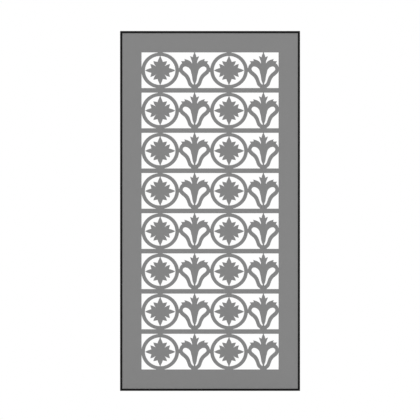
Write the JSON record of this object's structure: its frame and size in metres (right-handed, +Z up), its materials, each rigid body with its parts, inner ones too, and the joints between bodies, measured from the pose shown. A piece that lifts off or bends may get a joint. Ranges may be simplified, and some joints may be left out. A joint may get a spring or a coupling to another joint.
{
  "type": "privacy screen panel",
  "caption": "Tall framed privacy screen: a grey metal sheet pierced with rows of star rings and lotus flowers, held in a slim black mitred frame with side fixing holes.",
  "frame": {"origin": "middle of the panel's underside, halfway between the frame's front and back faces", "axes": "+Z up the panel, +X to the right seen from the front, +Y from the front to the back"},
  "size_m": [0.9, 0.025, 1.8],
  "materials": {
    "sheet_coat": "matte",
    "frame_coat": "satin",
    "key_metal": "matte",
    "screw_steel": "satin",
    "gasket_rubber": "matte",
    "packer_plastic": "matte",
    "cap_plastic": "satin"
  },
  "bodies": {
    "root": {"screen_sheet": "sheet_coat", "left_stile": "frame_coat", "right_stile": "frame_coat", "top_rail": "frame_coat", "bottom_rail": "frame_coat", "corner_key_top_left": "key_metal", "corner_key_top_right": "key_metal", "corner_key_bottom_left": "key_metal", "corner_key_bottom_right": "key_metal", "key_screws": "screw_steel", "gasket_top": "gasket_rubber", "gasket_bottom": "gasket_rubber", "gasket_left": "gasket_rubber", "gasket_right": "gasket_rubber", "setting_block_left": "packer_plastic", "setting_block_right": "packer_plastic", "side_spacer_left_lower": "packer_plastic", "side_spacer_left_upper": "packer_plastic", "side_spacer_right_lower": "packer_plastic", "side_spacer_right_upper": "packer_plastic", "access_cap_left_1": "cap_plastic", "access_cap_left_2": "cap_plastic", "access_cap_left_3": "cap_plastic", "access_cap_left_4": "cap_plastic", "access_cap_right_1": "cap_plastic", "access_cap_right_2": "cap_plastic", "access_cap_right_3": "cap_plastic", "access_cap_right_4": "cap_plastic"}
  },
  "joints": []
}
